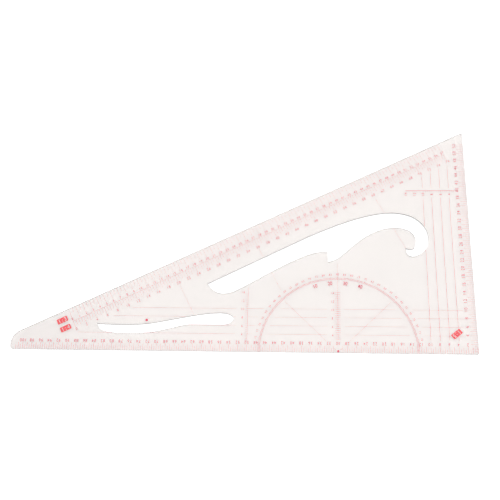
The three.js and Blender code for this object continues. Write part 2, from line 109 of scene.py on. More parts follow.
# %% Camera
CAMERA_PLACE = (-74.31, -123.65, 372.71)  # millimetres from the right-angled corner
VIEW = Vector((-0.06379, 0.42022, -0.90518))
UP = Vector((-0.00510, 0.90688, 0.42137))
LENS = 64.17
SENSOR = 36

camera_data = bpy.data.cameras.new("camera")
camera_data.lens = LENS
camera_data.sensor_width = SENSOR
camera = bpy.data.objects.new("camera", camera_data)
bpy.context.scene.collection.objects.link(camera)
right = VIEW.cross(UP).normalized()
turn = Matrix((right, UP.normalized(), -VIEW.normalized())).transposed().to_4x4()
place = to_metres(CAMERA_PLACE).to_3d()
place.z = CAMERA_PLACE[2] * MM
camera.matrix_world = Matrix.Translation(place) @ turn
bpy.context.scene.camera = camera
print("camera at", [round(v, 3) for v in camera.matrix_world.translation])

# %% [markdown]
# ## Light all round
# The sheet lies on white paper in soft light that comes from all sides, as in a light tent. A white
# world gives that light. It could also be the background, but then its strength would be both the
# light on the object and the white that is seen. A Light Path node keeps the two apart: the rays
# that show a background, which are those from the camera, from mirrors and through glass, meet
# plain white, and all other rays meet the tent's light.

# %% World
TENT_LIGHT = 0.88


def seen_rays(tree):
    """A socket that is 1 for the rays that show a background: camera, glossy and transmission."""
    light_path = tree.nodes.new("ShaderNodeLightPath")
    total = light_path.outputs["Is Camera Ray"]
    for name in ("Is Glossy Ray", "Is Transmission Ray"):
        larger = tree.nodes.new("ShaderNodeMath")
        larger.operation = "MAXIMUM"
        tree.links.new(total, larger.inputs[0])
        tree.links.new(light_path.outputs[name], larger.inputs[1])
        total = larger.outputs[0]
    return total


world = bpy.data.worlds.new("light_tent")
bpy.context.scene.world = world
world.use_nodes = True
tree = world.node_tree
tree.nodes.clear()
tent = tree.nodes.new("ShaderNodeBackground")
tent.inputs["Strength"].default_value = TENT_LIGHT
white = tree.nodes.new("ShaderNodeBackground")
mix = tree.nodes.new("ShaderNodeMixShader")
world_out = tree.nodes.new("ShaderNodeOutputWorld")
for background in (tent, white):
    background.inputs["Color"].default_value = (1, 1, 1, 1)
tree.links.new(seen_rays(tree), mix.inputs["Fac"])
tree.links.new(tent.outputs[0], mix.inputs[1])
tree.links.new(white.outputs[0], mix.inputs[2])
tree.links.new(mix.outputs[0], world_out.inputs["Surface"])
print("light tent at strength", TENT_LIGHT)

# %% [markdown]
# One large, weak lamp adds a little direction, so that the cut edges and the print are not quite
# flat. A glossy sheet is a mirror, so the lamp stands to the right and in front, where neither the
# photograph's camera nor one straight above sees it reflected.

# %% Lamp
LAMP_WATTS = 5.0
LAMP_SIZE = 0.9
LAMP_PLACE = (0.8, -0.65, 0.95)

lamp_data = bpy.data.lights.new("soft_lamp", "AREA")
lamp_data.shape = "DISK"
lamp_data.size = LAMP_SIZE
lamp_data.energy = LAMP_WATTS
lamp = bpy.data.objects.new("soft_lamp", lamp_data)
lamp.location = LAMP_PLACE
lamp.rotation_mode = "QUATERNION"
lamp.rotation_quaternion = (-lamp.location).to_track_quat("-Z", "Y")
bpy.context.scene.collection.objects.link(lamp)
print("lamp distance:", round(lamp.location.length, 2), "m")

# %% [markdown]
# The paper has to be pure white in the picture and still take the sheet's faint shadow. Stronger
# lamps could make it white, but they would bleach the sheet too. So the paper's own white is topped
# up with a weak glow that only the background rays can see. Through the sheet it gives the paper's
# true brightness as well, which light paths through a clear slab would need many samples to find.

# %% Paper floor
PAPER_WHITE = (0.82, 0.82, 0.82, 1)
PAPER_GLOW = 0.473
FLOOR_HALF = 4.0
FLOOR_GAP = 0.0001  # keeps the paper clear of the sheet's underside

paper = bpy.data.materials.new("white_paper")
paper.use_nodes = True
tree = paper.node_tree
tree.nodes.clear()
matte = tree.nodes.new("ShaderNodeBsdfDiffuse")
matte.inputs["Color"].default_value = PAPER_WHITE
glow = tree.nodes.new("ShaderNodeEmission")
strength = tree.nodes.new("ShaderNodeMath")
strength.operation = "MULTIPLY"
strength.inputs[1].default_value = PAPER_GLOW
both = tree.nodes.new("ShaderNodeAddShader")
paper_out = tree.nodes.new("ShaderNodeOutputMaterial")
tree.links.new(seen_rays(tree), strength.inputs[0])
tree.links.new(strength.outputs[0], glow.inputs["Strength"])
tree.links.new(matte.outputs[0], both.inputs[0])
tree.links.new(glow.outputs[0], both.inputs[1])
tree.links.new(both.outputs[0], paper_out.inputs["Surface"])

floor_corners = [
    (x * FLOOR_HALF, y * FLOOR_HALF, -FLOOR_GAP) for x, y in [(-1, -1), (1, -1), (1, 1), (-1, 1)]
]
floor_mesh = bpy.data.meshes.new("floor")
floor_mesh.from_pydata(floor_corners, [], [(0, 1, 2, 3)])
floor_mesh.materials.append(paper)
floor = bpy.data.objects.new("floor", floor_mesh)
bpy.context.scene.collection.objects.link(floor)
bpy.context.scene.view_settings.view_transform = "Standard"
print("paper floor of", 2 * FLOOR_HALF, "m")

# %% [markdown]
# ## Tools for the finishes
# The plastic and the ink vary only slightly over their faces, and a picture could carry that. Noise
# is used instead, because it has no seams and no fixed resolution. It is taken in the object's own
# coordinates, so that it stays put in every view. Its values crowd round the middle, so a second
# helper stretches that middle to the range that a finish needs.

# %% Finish helpers
NOISE_LOW, NOISE_HIGH = 0.3, 0.7  # nearly all values of the noise lie between these


def texture_noise(tree, scale, detail, stretch=(1, 1, 1)):
    place = tree.nodes.new("ShaderNodeTexCoord")
    mapping = tree.nodes.new("ShaderNodeMapping")
    mapping.inputs["Scale"].default_value = stretch
    noise = tree.nodes.new("ShaderNodeTexNoise")
    noise.inputs["Scale"].default_value = scale
    noise.inputs["Detail"].default_value = detail
    tree.links.new(place.outputs["Object"], mapping.inputs["Vector"])
    tree.links.new(mapping.outputs[0], noise.inputs["Vector"])
    return noise.outputs["Fac"]


def spread(tree, value, low, high):
    """Stretch a noise's middle range to run from low to high."""
    ranged = tree.nodes.new("ShaderNodeMapRange")
    ranged.inputs["From Min"].default_value = NOISE_LOW
    ranged.inputs["From Max"].default_value = NOISE_HIGH
    ranged.inputs["To Min"].default_value = low
    ranged.inputs["To Max"].default_value = high
    tree.links.new(value, ranged.inputs["Value"])
    return ranged.outputs[0]


def two_colours(tree, factor, first, second):
    """A mix of two colours. The first may also be what another mix gives."""
    blend = tree.nodes.new("ShaderNodeMix")
    blend.data_type = "RGBA"
    if isinstance(first, tuple):
        blend.inputs["A"].default_value = first
    else:
        tree.links.new(first, blend.inputs["A"])
    blend.inputs["B"].default_value = second
    tree.links.new(factor, blend.inputs["Factor"])
    return blend.outputs["Result"]


def bumped(tree, height, strength, distance):
    bump = tree.nodes.new("ShaderNodeBump")
    bump.inputs["Strength"].default_value = strength
    bump.inputs["Distance"].default_value = distance
    tree.links.new(height, bump.inputs["Height"])
    return bump.outputs["Normal"]


def new_finish(name):
    material = bpy.data.materials.new(name)
    material.use_nodes = True
    tree = material.node_tree
    return material, tree, tree.nodes["Principled BSDF"]


print("finish helpers ready")

# %% [markdown]
# ## Clear plastic
# The sheet is clear, a little warm, and glossy. The Principled shader makes that with full
# transmission and the refractive index of such plastic. The tint is the colour that white paper has
# when it is seen through the sheet. A real sheet is never perfectly flat or clean, so a slow noise
# bends its reflections slightly, and a finer one makes its gloss uneven where it has been handled.
# Towards the blunt end the sheet is painted a little darker, a painted shade for the light that
# falls off there, and a map range on the object's x brings that shaded tint in.

# %% Clear plastic material
SHEET_IOR = 1.49
SHEET_TINT = (0.955, 0.925, 0.905, 1)
SHEET_TINT_WORN = (0.94, 0.912, 0.895, 1)
# painted shade: the sheet's tint turns darker towards the blunt end, where the light falls off
SHEET_TINT_SHADED = (0.91, 0.878, 0.864, 1)
SHADE_FROM, SHADE_TO = -150, -192  # where the painted shade begins and is full, from the corner
SHEET_ROUGHNESS = (0.02, 0.07)  # where it is clean, and where it has been handled

clear_plastic, tree, shader = new_finish("clear_plastic")
shader.inputs["IOR"].default_value = SHEET_IOR
shader.inputs["Transmission Weight"].default_value = 1.0
handling = spread(tree, texture_noise(tree, scale=18, detail=3), 0, 1)
tint = two_colours(tree, handling, SHEET_TINT, SHEET_TINT_WORN)

place = tree.nodes.new("ShaderNodeTexCoord")
along = tree.nodes.new("ShaderNodeSeparateXYZ")
tree.links.new(place.outputs["Object"], along.inputs[0])
towards_blunt_end = tree.nodes.new("ShaderNodeMapRange")
towards_blunt_end.inputs["From Min"].default_value = corner_x + SHADE_FROM * MM
towards_blunt_end.inputs["From Max"].default_value = corner_x + SHADE_TO * MM
tree.links.new(along.outputs["X"], towards_blunt_end.inputs["Value"])
# painted shade: this mix darkens the tint towards the blunt end
shaded_tint = two_colours(tree, towards_blunt_end.outputs[0], tint, SHEET_TINT_SHADED)
tree.links.new(shaded_tint, shader.inputs["Base Color"])

smears = texture_noise(tree, scale=140, detail=4, stretch=(1, 2.5, 1))
tree.links.new(spread(tree, smears, *SHEET_ROUGHNESS), shader.inputs["Roughness"])
waves = texture_noise(tree, scale=14, detail=1)
tree.links.new(bumped(tree, waves, strength=0.05, distance=0.001), shader.inputs["Normal"])
print("clear plastic ready")

# %% [markdown]
# The faces are as smooth as the sheet was rolled, but its edges are cut. Cutting leaves them
# slightly matte, so they pass less light than the faces do and draw a fine grey line round the
# sheet. Round its openings the walls are also painted a little darker, a painted shade on them.
# They
# get finishes of their own: the same plastic, only partly clear, with a rough surface and a grain
# that runs along the cut.

# %% Cut edge materials
TRIMMED_PALE, TRIMMED_DARK = (0.96, 0.93, 0.92, 1), (0.92, 0.89, 0.88, 1)
# the openings' walls are a little darker than the rim: painted shade on those walls
OPENING_SHADED_PALE, OPENING_SHADED_DARK = (0.93, 0.91, 0.905, 1), (0.88, 0.86, 0.855, 1)
EDGE_ROUGHNESS = (0.15, 0.3)


def cut_plastic(name, colour, dark_colour, transmission):
    material, tree, shader = new_finish(name)
    shader.inputs["IOR"].default_value = SHEET_IOR
    shader.inputs["Transmission Weight"].default_value = transmission
    streaks = texture_noise(tree, scale=300, detail=3, stretch=(1, 1, 12))
    streaked = two_colours(tree, spread(tree, streaks, 0, 1), colour, dark_colour)
    tree.links.new(streaked, shader.inputs["Base Color"])
    tree.links.new(spread(tree, streaks, *EDGE_ROUGHNESS), shader.inputs["Roughness"])
    grain = bumped(tree, streaks, strength=0.2, distance=0.00002)
    tree.links.new(grain, shader.inputs["Normal"])
    return material


trimmed_edge = cut_plastic("trimmed_edge", TRIMMED_PALE, TRIMMED_DARK, transmission=0.35)
# painted shade: the openings' walls take the darker colours
opening_cut_and_shade = cut_plastic("opening_cut_and_shade", OPENING_SHADED_PALE, OPENING_SHADED_DARK, transmission=0.45)
print("cut edges ready")

# %% [markdown]
# ## Red ink
# Screen printed ink is a thin opaque film with a satin face. It is never quite even: its density
# varies a little from place to place, and its face has a fine grain from the mesh of the screen.
# On a broad tile the film is full and bright. Lines and numerals are given a deeper, duller red, so
# they have their own colours.

# %% Red ink materials
TILE_INK, TILE_INK_THIN = (0.86, 0.1, 0.12, 1), (0.92, 0.17, 0.18, 1)
FINE_INK, FINE_INK_THIN = (0.7, 0.08, 0.14, 1), (0.78, 0.135, 0.19, 1)
INK_SHEEN = 0.35
INK_ROUGHNESS = (0.38, 0.55)


def printed_ink(name, full, thin):
    material, tree, shader = new_finish(name)
    density = spread(tree, texture_noise(tree, scale=900, detail=3), 0, 1)
    tree.links.new(two_colours(tree, density, full, thin), shader.inputs["Base Color"])
    gloss = texture_noise(tree, scale=400, detail=2)
    tree.links.new(spread(tree, gloss, *INK_ROUGHNESS), shader.inputs["Roughness"])
    shader.inputs["Specular IOR Level"].default_value = INK_SHEEN
    screen_grain = texture_noise(tree, scale=9000, detail=1)
    grain = bumped(tree, screen_grain, strength=0.15, distance=0.00001)
    tree.links.new(grain, shader.inputs["Normal"])
    return material


solid_ink = printed_ink("solid_ink", TILE_INK, TILE_INK_THIN)
red_ink = printed_ink("red_ink", FINE_INK, FINE_INK_THIN)
print("red inks ready")

# %% [markdown]
# ## The sheet's outline
# The CAD sheet has facets of about a millimetre along its curves, which show in close views of a
# clear, glossy edge. So the sheet is built again on the same points with finer curves, and replaces
# the CAD sheet within its space. The corners are arcs between two straight edges. The openings run
# smoothly through their points, as a draughtsman's spline does; a Bezier curve object could do that
# too, but plain points are easier to move inward for a rounded edge.

# %% Outline helpers
LONGEST_MITRE = 2  # a sharp corner's point moves by the distance times this at most


def rounded_outline(corners, steps=10):
    """A closed outline, turning left, with each corner given as (x, y, radius)."""
    outline = []
    for i, (x, y, radius) in enumerate(corners):
        here = Vector((x, y))
        before = Vector(corners[i - 1][:2]) - here
        after = Vector(corners[(i + 1) % len(corners)][:2]) - here
        before.normalize()
        after.normalize()
        half = before.angle(after) / 2
        centre = here + (before + after).normalized() * radius / math.sin(half)
        start = here + before * radius / math.tan(half) - centre
        sweep = math.pi - 2 * half
        for step in range(steps + 1):
            outline.append(centre + Matrix.Rotation(sweep * step / steps, 2) @ start)
    return outline


def spline_through(points, steps=10):
    """Points on a smooth curve through the given ones, by the Catmull-Rom rule."""
    curve = []
    last = len(points) - 1
    for i in range(last):
        p0, p1, p2, p3 = (points[min(max(k, 0), last)] for k in (i - 1, i, i + 1, i + 2))
        for step in range(steps):
            t = step / steps
            leave, arrive = (p2 - p0) / 2, (p3 - p1) / 2
            curve.append(
                (2 * p1 - 2 * p2 + leave + arrive) * t**3
                + (3 * p2 - 3 * p1 - 2 * leave - arrive) * t**2
                + leave * t
                + p1
            )
    return curve + [points[last]]


def area_of(loop):
    return sum(a.cross(b) for a, b in zip(loop, loop[1:] + loop[:1])) / 2


def turned(loop, left):
    """The loop with its points turning left, or right."""
    return loop if (area_of(loop) > 0) == left else loop[::-1]


def inset(loop, distance):
    """The loop moved into the material on its left by a distance."""
    moved = []
    for i, here in enumerate(loop):
        into = (here - loop[i - 1]).normalized()
        out = (loop[(i + 1) % len(loop)] - here).normalized()
        along = (into + out).normalized()
        aside = Vector((-along.y, along.x))
        shortening = max(aside.dot(Vector((-out.y, out.x))), 1 / LONGEST_MITRE)
        moved.append(here + aside * distance / shortening)
    return moved


print("area of a unit square:", area_of([Vector(p) for p in [(0, 0), (1, 0), (1, 1), (0, 1)]]))

# %% [markdown]
# The two openings are scroll-shaped drawing curves. Their points are given as shares of each
# opening's own length and depth, which keeps the shape and the size apart. The large one runs from
# its sharp tip along a straight roof, round the deep end, back along the hook and over the floor.
# The small one runs from its left end over its roof and back along its floor.

# %% Points of the openings
LARGE_LENGTH = 0.4398 * slope_length
LARGE_DEPTH = 0.2766 * UPRIGHT_REACH
LARGE_BORDER = 16.25  # inward from the sloping edge to the roof
LARGE_START = 40.9  # along the sloping edge, from its top to the deep end
LARGE_TIP = [(1, 0.02)]
LARGE_ROOF = [
    (0.491, 0), (0.412, 0.009), (0.329, 0.028), (0.249, 0.062), (0.175, 0.114), (0.119, 0.178),
    (0.069, 0.269), (0.026, 0.408), (0.004, 0.58), (0.006, 0.755), (0.029, 0.9), (0.062, 0.981),
    (0.096, 1), (0.122, 0.984), (0.138, 0.918), (0.131, 0.816),
]
LARGE_HOOK = [
    (0.115, 0.858), (0.098, 0.87), (0.081, 0.82), (0.069, 0.751), (0.067, 0.664), (0.079, 0.571),
    (0.108, 0.484), (0.154, 0.413), (0.214, 0.385), (0.276, 0.398), (0.335, 0.442), (0.387, 0.493),
    (0.431, 0.522), (0.472, 0.509),
]
LARGE_FLOOR = [
    (0.451, 0.359), (0.487, 0.303), (0.538, 0.27), (0.632, 0.262), (0.721, 0.275), (0.809, 0.295),
    (0.877, 0.31), (0.926, 0.302), (0.963, 0.257), (0.989, 0.16), (1, 0.02),
]
SMALL_LEFT, SMALL_RIGHT = -167.97, -106.6
SMALL_FOOT, SMALL_HEIGHT = 7.8, 10.1  # from the base edge, and from there up
SMALL_TIP = [(0, 0.45)]
SMALL_ROOF = [
    (0.106, 0.416), (0.207, 0.411), (0.309, 0.436), (0.401, 0.5), (0.555, 0.688), (0.71, 0.876),
    (0.827, 0.98), (0.92, 1), (0.977, 0.9), (1, 0.713), (0.979, 0.53), (0.94, 0.442),
    (0.888, 0.431),
]
SMALL_FLOOR = [
    (0.679, 0.431), (0.611, 0.36), (0.513, 0.198), (0.401, 0.056), (0.283, 0), (0.168, 0),
    (0.081, 0.054), (0.026, 0.178), (0, 0.45),
]
print("large opening in mm:", round(LARGE_LENGTH, 1), "by", round(LARGE_DEPTH, 1))

# %% [markdown]
# Now the shares become places. Where one run ends, the next one begins, and a place that comes
# twice is taken once. The breaks between the runs keep the real sheet's sharp points: the tip, the
# end of the hook and the notch.

# %% Outlines of the sheet and its openings
SAME_PLACE = 0.01  # points nearer than this are one
CORNER_RADIUS, HEEL_RADIUS, BLUNT_RADIUS = 0.6, 1.2, 6  # the heel is below the blunt end


def in_large(shares):
    return [
        on_slope(LARGE_START + a * LARGE_LENGTH, LARGE_BORDER + c * LARGE_DEPTH) for a, c in shares
    ]


def in_small(shares):
    wide = SMALL_RIGHT - SMALL_LEFT
    return [Vector((SMALL_LEFT + a * wide, SMALL_FOOT + u * SMALL_HEIGHT)) for a, u in shares]


def one_loop(*runs):
    loop = []
    for point in (p for run in runs for p in run):
        if not loop or (point - loop[-1]).length > SAME_PLACE:
            loop.append(point)
    return loop if (loop[0] - loop[-1]).length > SAME_PLACE else loop[:-1]


roof, hook, large_floor = in_large(LARGE_ROOF), in_large(LARGE_HOOK), in_large(LARGE_FLOOR)
large_opening = one_loop(
    in_large(LARGE_TIP),
    spline_through(roof),
    spline_through([roof[-1], *hook]),
    spline_through(large_floor),
)
small_opening = one_loop(
    spline_through(in_small(SMALL_TIP + SMALL_ROOF)),
    spline_through(in_small(SMALL_FLOOR)),
)
triangle = rounded_outline(
    [
        (0, 0, CORNER_RADIUS),
        (0, UPRIGHT_REACH, CORNER_RADIUS),
        (-SHEET_LENGTH, BLUNT_END, BLUNT_RADIUS),
        (-SHEET_LENGTH, 0, HEEL_RADIUS),
    ]
)
print("outline points:", len(triangle), len(large_opening), len(small_opening))

# %% [markdown]
# ## Slabs
# A flat piece of any outline is a slab: the outline low down, the same outline higher up, a wall
# between them, and both faces filled. A curve object with an extrusion makes such a piece too, but
# here each wall has to know whether it is the sheet's rim or an opening's, and hundreds of numerals
# have to share one mesh. The fill has to leave the openings free, and tessellate_polygon does that.
# Where the edge is rounded, a few more outlines stand between low and high, each moved in a little.
# The two faces stay flat shaded, so that no highlight bends across them.

# %% Slab helper
FACE, RIM, OPENING_WALL = 0, 1, 2  # finishes, in the order of a slab's materials
SHARP_ANGLE = math.radians(35)


def slab_rings(low, high, round_over, steps=3):
    """Heights and insets of the outlines that make a slab's wall, from its underside up."""
    if not round_over:
        return [(low, 0), (high, 0)]
    under = []
    for step in range(steps, -1, -1):
        bend = math.pi / 2 * step / steps
        under.append((low + round_over * (1 - math.sin(bend)), round_over * (1 - math.cos(bend))))
    return under + [(high + low - height, inward) for height, inward in under[::-1]]


class Slabs:
    """Collects slabs, and makes one mesh object of them."""

    def __init__(self, name):
        self.name, self.points, self.faces = name, [], []
        self.finishes, self.curved = [], []

    def add_face(self, corners, finish, curved):
        self.faces.append(corners)
        self.finishes.append(finish)
        self.curved.append(curved)

    def add(self, loops, low, high, round_over=0):
        """Loops are in millimetres; the outer one turns left and the holes turn right."""
        rings = slab_rings(low, high, round_over)
        base = len(self.points)
        count = sum(map(len, loops))
        for height, inward in rings:
            moved = [inset(loop, inward) if inward else loop for loop in loops]
            self.points += [(*to_metres(p), height * MM) for loop in moved for p in loop]
        start = base
        for number, loop in enumerate(loops):
            for level in range(len(rings) - 1):
                upright = rings[level][1] == rings[level + 1][1]
                finish = (OPENING_WALL if number else RIM) if upright else FACE
                lower, upper = start + level * count, start + (level + 1) * count
                for i in range(len(loop)):
                    j = (i + 1) % len(loop)
                    self.add_face((lower + i, lower + j, upper + j, upper + i), finish, True)
            start += len(loop)
        plane = [p for loop in moved for p in loop]
        top = base + (len(rings) - 1) * count
        for a, b, c in tessellate_polygon([[Vector((*p, 0)) for p in loop] for loop in moved]):
            if (plane[b] - plane[a]).cross(plane[c] - plane[a]) < 0:
                b, c = c, b
            self.add_face((top + a, top + b, top + c), FACE, False)
            self.add_face((base + a, base + c, base + b), FACE, False)

    def piece(self, slot, *materials, smooth=False):
        """The slabs as one object. With three materials, the walls take the second and third."""
        mesh = bpy.data.meshes.new(self.name)
        mesh.from_pydata(self.points, [], self.faces)
        for material in materials:
            mesh.materials.append(material)
        if len(materials) > 1:
            mesh.polygons.foreach_set("material_index", self.finishes)
        if smooth:
            mesh.set_sharp_from_angle(angle=SHARP_ANGLE)  # this makes every face smooth
            mesh.polygons.foreach_set("use_smooth", self.curved)
        made = bpy.data.objects.new(self.name, mesh)
        bpy.context.scene.collection.objects.link(made)
        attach(made, "root")
        print(self.name, "has", len(mesh.polygons), "faces")
        return made


# %% [markdown]
# ## The clear sheet
# The sheet is one slab with two holes. Its edges are broken by a tenth of a millimetre, as cutting
# and handling leave them, and that is what catches a thin line of light. A hair of air stays
# between the sheet and the ink on it: two faces in exactly the same place would flicker.

# %% Build the clear sheet
SHEET_TOP = sheet_high.z / MM
INK_GAP = 0.004
EDGE_ROUNDING = 0.1

sheet = Slabs("clear_sheet")
sheet_loops = [turned(triangle, True), turned(large_opening, False), turned(small_opening, False)]
sheet.add(sheet_loops, 0, SHEET_TOP - INK_GAP, EDGE_ROUNDING)
clear_sheet = sheet.piece("clear_sheet", clear_plastic, trimmed_edge, opening_cut_and_shade, smooth=True)
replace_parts(clear_sheet, "ruler_sheet")

# %% [markdown]
# ## The printed lines
# The guide lines, the protractor and the inner scales are CAD parts already, in their true widths
# of about a tenth of a millimetre. They keep their shape and only take the ink.

# %% Ink the CAD films
TILES = ("ratio_block_thirds", "ratio_block_quarters", "ratio_block_fifths")

films = [node for name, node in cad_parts.items() if name not in ("ruler_sheet", *TILES)]
for film in films:
    film.data.materials.clear()
    film.data.materials.append(red_ink)
print("inked CAD films:", len(films))

# %% [markdown]
# ## Edge ticks
# Along the base and the upright edge there is a tick at every millimetre, and along the sloping
# edge one at every half unit of the thirds scale. Each is a small bar of ink. An array modifier
# could repeat one bar, but the real lengths differ from tick to tick and some ticks are left out,
# so a plain loop is clearer. A whole scale is one mesh. All this ink is as thick as the CAD films.

# %% Tick helper
INK_LOW, INK_HIGH = SHEET_TOP, cad_box[1][2] / MM


def add_bar(slabs, start, end, width):
    aside = (end - start).normalized() * width / 2
    aside = Vector((-aside.y, aside.x))
    slabs.add([[start - aside, end - aside, end + aside, start + aside]], INK_LOW, INK_HIGH)


print("ink lies from", round(INK_LOW, 2), "to", round(INK_HIGH, 2), "mm")

# %% [markdown]
# The base scale has two lengths of tick: a long one at each unit, which is two millimetres, and a
# short one at each half unit. Ticks are left out where the protractor's band or its centre dot is
# printed over the scale. Two short strokes beside the dot lead the eye towards the lines at 45
# degrees.

# %% Ticks of the base scale
PROTRACTOR_X = -60.5
BAND_RADII = (34.1, 35.5)
DOT_CLEARANCE = 1.4
BASE_TICKS, BASE_SHIFT = 204, 0.49  # how many, and the first one's distance from the corner
BASE_FOOT, BASE_LONG, BASE_SHORT = 0.12, 3.05, 2.0  # where ticks begin and end, from the edge
BASE_TICK_WIDTH = 0.093
STROKE_NEAR, STROKE_FAR = (0.8, 0.9), (1.7, 1.8)  # aside and up, from the protractor's centre

base_ticks = Slabs("base_scale_ticks")
for k in range(BASE_TICKS):
    x = -(k + BASE_SHIFT)
    from_centre = abs(x - PROTRACTOR_X)
    if from_centre < DOT_CLEARANCE or BAND_RADII[0] < from_centre < BAND_RADII[1]:
        continue
    reach = BASE_LONG if k % 2 == 0 else BASE_SHORT
    add_bar(base_ticks, Vector((x, BASE_FOOT)), Vector((x, reach)), BASE_TICK_WIDTH)
for side in (-1, 1):
    near, far = (Vector((PROTRACTOR_X + side * x, y)) for x, y in (STROKE_NEAR, STROKE_FAR))
    add_bar(base_ticks, near, far, BASE_TICK_WIDTH)
base_ticks.piece("red_ink", red_ink)

# %% [markdown]
# The upright scale starts a little above the corner. It is divided in the same way, with its long
# ticks a little longer. Its bars are the thinnest, so that at a pitch of one millimetre the scale
# doesn't close up to a red band.

# %% Ticks of the upright scale
UPRIGHT_TICKS, UPRIGHT_SHIFT = 105, 0.25
UPRIGHT_FOOT, UPRIGHT_LONG, UPRIGHT_SHORT = 0.3, 3.4, 2.0
UPRIGHT_TICK_WIDTH = 0.073

upright_ticks = Slabs("upright_scale_ticks")
for k in range(1, UPRIGHT_TICKS + 1):
    y = k + UPRIGHT_SHIFT
    reach = UPRIGHT_LONG if k % 2 == 0 else UPRIGHT_SHORT
    add_bar(upright_ticks, Vector((-UPRIGHT_FOOT, y)), Vector((-reach, y)), UPRIGHT_TICK_WIDTH)
upright_ticks.piece("red_ink", red_ink)

# %% [markdown]
# The thirds scale draws at one third of real size, so its unit, which stands for a centimetre, is
# ten thirds of a millimetre long. It has a long tick at each unit and a shorter one at each half.

# %% Ticks of the thirds scale
ZERO_FROM_BLUNT_END = 27.1
SCALE_ZERO = slope_length - ZERO_FROM_BLUNT_END
THIRD_UNIT = 10 / 3
THIRD_UNITS = 57
THIRDS_FOOT, THIRDS_LONG, THIRDS_SHORT = 0.4, 4.3, 3.0
THIRDS_TICK_WIDTH = 0.088

thirds_ticks = Slabs("thirds_scale_ticks")
for half in range(1, 2 * THIRD_UNITS + 1):
    along = SCALE_ZERO - half * THIRD_UNIT / 2
    reach = THIRDS_LONG if half % 2 == 0 else THIRDS_SHORT
    ends = on_slope(along, THIRDS_FOOT), on_slope(along, reach)
    add_bar(thirds_ticks, *ends, THIRDS_TICK_WIDTH)
thirds_ticks.piece("red_ink", red_ink)

# %% [markdown]
# The quarter scale is a CAD part, a spine line with all its ticks. Its ticks are a little longer on
# the real sheet, and all its unit ticks are alike, so short bars of ink carry each CAD tick on to
# its full length. They begin exactly where the CAD ticks end, so that no faces lie in one another.

# %% Ends of the quarter scale's ticks
QUARTER_UNIT = 2.5
QUARTER_UNITS = 76
QUARTER_TICK_WIDTH = 0.085
CAD_HALF, CAD_UNIT, CAD_LABELLED = 8.55, 8.85, 9.35  # where the CAD ticks end, from the edge
HALF_REACH, UNIT_REACH = 8.85, 9.7

quarter_ends = Slabs("quarters_scale_tick_ends")
for half in range(2 * QUARTER_UNITS + 1):
    along = SCALE_ZERO - half * QUARTER_UNIT / 2
    start, reach = (CAD_HALF, HALF_REACH) if half % 2 else (CAD_UNIT, UNIT_REACH)
    if half % 4 == 0:
        start = CAD_LABELLED
    add_bar(quarter_ends, on_slope(along, start), on_slope(along, reach), QUARTER_TICK_WIDTH)
quarter_ends.piece("red_ink", red_ink)

# %% [markdown]
# ## Numerals
# The numerals are small and plain. A text object for each would be easy to write, but that makes
# hundreds of objects. Here Blender's built-in font gives each digit's outline once, as curves. The
# outline is turned into closed loops, scaled to a height of one, and then set as a slab of ink
# wherever it is needed. An outline inside another one is a hole, and turns the other way.

# %% Digits as loops
GLYPHS = "0123456789:"
DIGIT_NARROWING = 0.86
NEARLY_STRAIGHT = 0.004  # bend, in font units, under which a curve takes fewer points


def font_loops(character):
    """The outlines of one character, as loops of points."""
    text = bpy.data.curves.new("digit", "FONT")
    text.body = character
    holder = bpy.data.objects.new("digit", text)
    bpy.context.scene.collection.objects.link(holder)
    outline = holder.to_curve(bpy.context.evaluated_depsgraph_get())
    loops = []
    for spline in outline.splines:
        knots = spline.bezier_points
        loop = []
        for a, b in zip(knots, list(knots[1:]) + [knots[0]]):
            straight = (b.co - a.co).normalized()
            bend = straight.cross(a.handle_right - a.co).length
            bend += straight.cross(b.handle_left - b.co).length
            steps = 2 if bend < NEARLY_STRAIGHT else 4
            loop += interpolate_bezier(a.co, a.handle_right, b.handle_left, b.co, steps)[:-1]
        loops.append([p.to_2d() for p in loop])
    bpy.data.objects.remove(holder)
    bpy.data.curves.remove(text)
    return loops


def is_within(point, loop):
    """Whether a level line from the point to the right crosses the loop an odd number of times."""
    inside = False
    for a, b in zip(loop, loop[1:] + loop[:1]):
        if (a.y > point.y) != (b.y > point.y):
            if a.x + (point.y - a.y) * (b.x - a.x) / (b.y - a.y) > point.x:
                inside = not inside
    return inside


def nested(loops):
    """Outer loops turning left, holes turning right."""
    result = []
    for i, loop in enumerate(loops):
        depth = sum(is_within(loop[0], other) for j, other in enumerate(loops) if j != i)
        result.append(turned(loop, depth % 2 == 0))
    return result


def make_digits():
    raw = {c: font_loops(c) for c in GLYPHS}
    tall = max(p.y for p in raw["1"][0]) - min(p.y for p in raw["1"][0])
    made = {}
    for character, loops in raw.items():
        xs = [p.x for loop in loops for p in loop]
        middle = Vector(((max(xs) + min(xs)) / 2, tall / 2))
        centred = [[p - middle for p in loop] for loop in loops]
        made[character] = nested(
            [[Vector((p.x * DIGIT_NARROWING, p.y)) / tall for p in loop] for loop in centred]
        )
    return made


PLAIN = make_digits()
print("points in each digit:", {c: sum(map(len, loops)) for c, loops in PLAIN.items()})

# %% [markdown]
# Ink spreads a little as it is pressed through the screen, so small numerals differ in weight from
# scale to scale. Moving the digits' outlines inward or outward makes a light, a bold and a heavy
# set of the same digits.

# %% Weights of the digits
def weighted(digits, weight):
    """The same digits with their outlines moved outward by a share of their height."""
    return {c: [inset(loop, -weight) for loop in loops] for c, loops in digits.items()}


LIGHT = weighted(PLAIN, -0.007)
BOLD = weighted(PLAIN, 0.012)
HEAVY = weighted(PLAIN, 0.015)
for name, digits in (("light", LIGHT), ("plain", PLAIN), ("bold", BOLD), ("heavy", HEAVY)):
    print(name, "ink of a 2 and an 8:", [round(sum(map(area_of, digits[c])), 3) for c in "28"])

# %% [markdown]
# A label is a number, the place of its middle, a turn and a height. The digits stand at even steps,
# and only the colon takes less room.

# %% Set a label
DIGIT_STEP = 0.76  # from one digit to the next, in digit heights
COLON_SHARE = 0.62  # of that step


